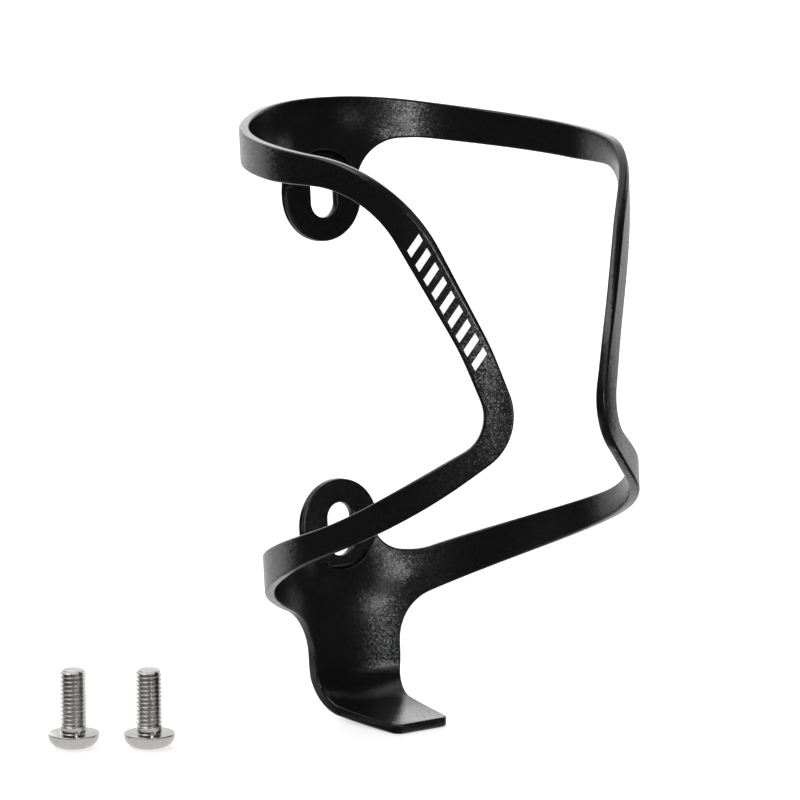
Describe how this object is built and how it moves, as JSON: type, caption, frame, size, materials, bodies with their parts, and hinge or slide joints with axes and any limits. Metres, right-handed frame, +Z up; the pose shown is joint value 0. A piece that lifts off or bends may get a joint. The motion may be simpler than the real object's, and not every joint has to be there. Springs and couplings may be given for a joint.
{
  "type": "water bottle cage",
  "caption": "One-piece black bicycle bottle cage of flat bent strap with two slotted mounting tabs and a bottom foot, with its button-head mounting bolts standing beside it.",
  "frame": {"origin": "on the back plane of the two tabs, midway between the tab centres: the middle of the pair of frame bosses", "axes": "+Z up from the table that the cage stands on, +Y back towards the bicycle tube, -Y the open front, +X the cage's left seen from the front; the bottle's axis leans back 4.67 degrees from +Z towards +Y"},
  "size_m": [0.1003, 0.0749, 0.1184],
  "materials": {
    "black_anodised": "blasted and black anodised, satin",
    "stainless": "polished stainless"
  },
  "bodies": {
    "cage": {"cage_body": "black_anodised"},
    "bolt_1": {"mounting_bolt_1": "stainless"},
    "bolt_2": {"mounting_bolt_2": "stainless"}
  },
  "joints": [
    {"name": "bolt_1_lift", "type": "slide", "parent": "cage", "child": "bolt_1", "axis": [0, 0, 1], "range_m": [0, 0.05]},
    {"name": "bolt_2_lift", "type": "slide", "parent": "cage", "child": "bolt_2", "axis": [0, 0, 1], "range_m": [0, 0.05]}
  ]
}
